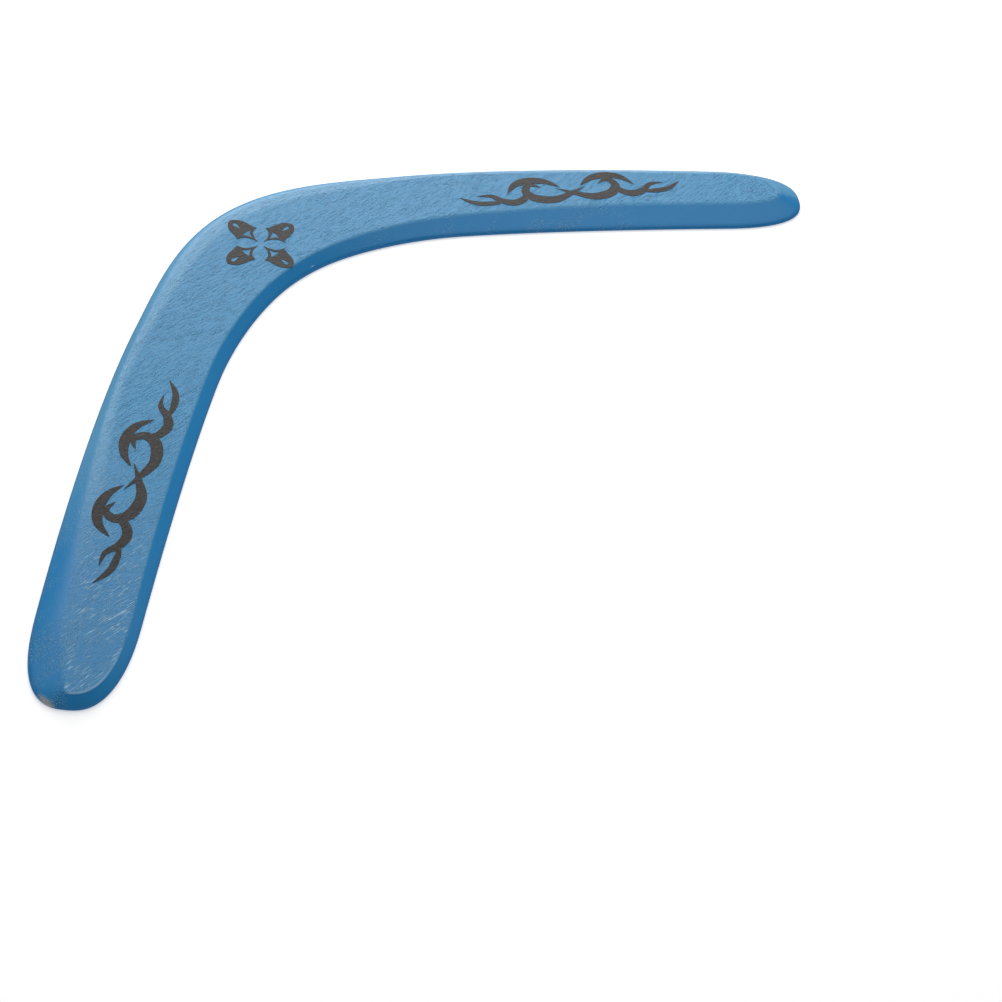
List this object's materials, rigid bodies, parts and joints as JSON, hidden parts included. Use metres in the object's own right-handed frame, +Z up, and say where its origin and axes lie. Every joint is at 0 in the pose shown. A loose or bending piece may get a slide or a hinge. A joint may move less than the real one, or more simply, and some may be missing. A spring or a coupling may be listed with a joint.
{
  "type": "boomerang",
  "caption": "Bent throwing blade of laminated veneer with flat underside, thin leading bevel, broad trailing bevel and printed ornaments on the upper face.",
  "frame": {"origin": "centre of the bounding box on the flat underside", "axes": "+X from the left wing tip to the right wing tip, +Y towards the outside of the elbow, +Z up out of the printed face"},
  "size_m": [0.4, 0.1493, 0.0051],
  "materials": {
    "blue_painted_wood": "satin blue paint over close wood grain",
    "dark_print": "dark grey transfer print, matt"
  },
  "bodies": {
    "root": {"bottom_face_veneer": "blue_painted_wood", "lower_cross_veneer": "blue_painted_wood", "core_veneer": "blue_painted_wood", "upper_cross_veneer": "blue_painted_wood", "top_face_veneer": "blue_painted_wood", "left_wing_scroll": "dark_print", "right_wing_scroll": "dark_print", "rosette_petal_1": "dark_print", "rosette_petal_2": "dark_print", "rosette_petal_3": "dark_print", "rosette_petal_4": "dark_print"}
  },
  "joints": []
}
